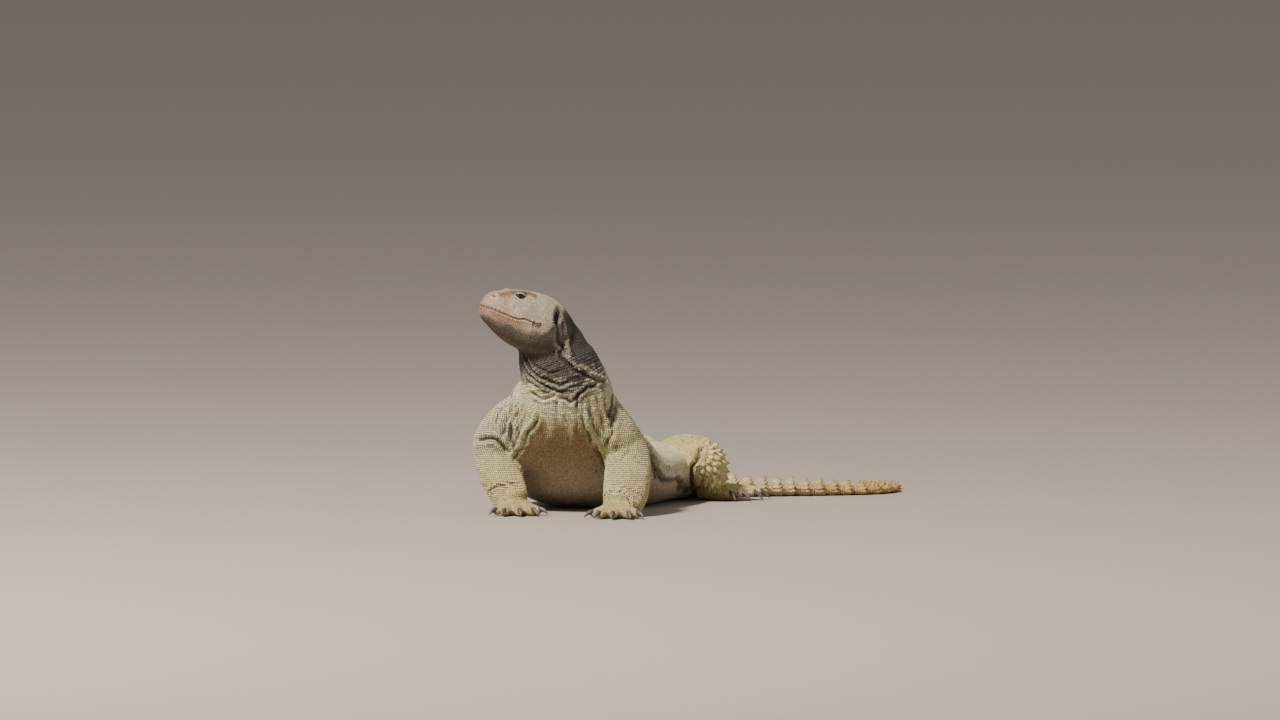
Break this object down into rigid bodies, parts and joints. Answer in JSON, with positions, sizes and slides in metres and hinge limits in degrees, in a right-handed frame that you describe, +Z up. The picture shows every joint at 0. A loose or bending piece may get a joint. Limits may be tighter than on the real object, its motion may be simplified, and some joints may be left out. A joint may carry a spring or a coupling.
{
  "type": "uromastyx",
  "caption": "Life-size still model of a pale yellow spiny-tailed lizard, resting on its belly with raised chest and head, propped forelegs and a ringed, spiny tail.",
  "frame": {"origin": "middle of the belly's flat on the floor", "axes": "+Z up, -Y the way the chest faces, +X the animal's left side at the chest, where its tail lies"},
  "size_m": [0.3471, 0.4001, 0.1819],
  "materials": {
    "hide": "pale yellow scaled hide, fine rows of matte scales",
    "face": "pinkish buff small scales, slightly glossy lips",
    "neck": "charcoal wrinkled hide with pale olive ridges",
    "tail": "orange-yellow hide in spiny rings",
    "claw": "dark grey-purple horn, worn at the tips",
    "eye": "wet dark brown eye",
    "eardrum": "dark thin membrane"
  },
  "bodies": {
    "root": {"head": "face", "jaw": "face", "neck": "neck", "chest": "hide", "abdomen": "hide", "pelvis": "hide", "tail_1": "tail", "tail_2": "tail", "tail_3": "tail", "tail_4": "tail", "upper_arm_left": "hide", "forearm_left": "hide", "hand_left": "hide", "thigh_left": "hide", "shin_left": "hide", "foot_left": "hide", "upper_arm_right": "hide", "forearm_right": "hide", "hand_right": "hide", "thigh_right": "hide", "shin_right": "hide", "foot_right": "hide", "eye_left": "eye", "ear_left": "eardrum", "claw_hand_left_1": "claw", "claw_hand_left_2": "claw", "claw_hand_left_3": "claw", "claw_hand_left_4": "claw", "claw_hand_left_5": "claw", "claw_foot_left_1": "claw", "claw_foot_left_2": "claw", "claw_foot_left_3": "claw", "claw_foot_left_4": "claw", "claw_foot_left_5": "claw", "eye_right": "eye", "ear_right": "eardrum", "claw_hand_right_1": "claw", "claw_hand_right_2": "claw", "claw_hand_right_3": "claw", "claw_hand_right_4": "claw", "claw_hand_right_5": "claw", "claw_foot_right_1": "claw", "claw_foot_right_2": "claw", "claw_foot_right_3": "claw", "claw_foot_right_4": "claw", "claw_foot_right_5": "claw"}
  },
  "joints": []
}
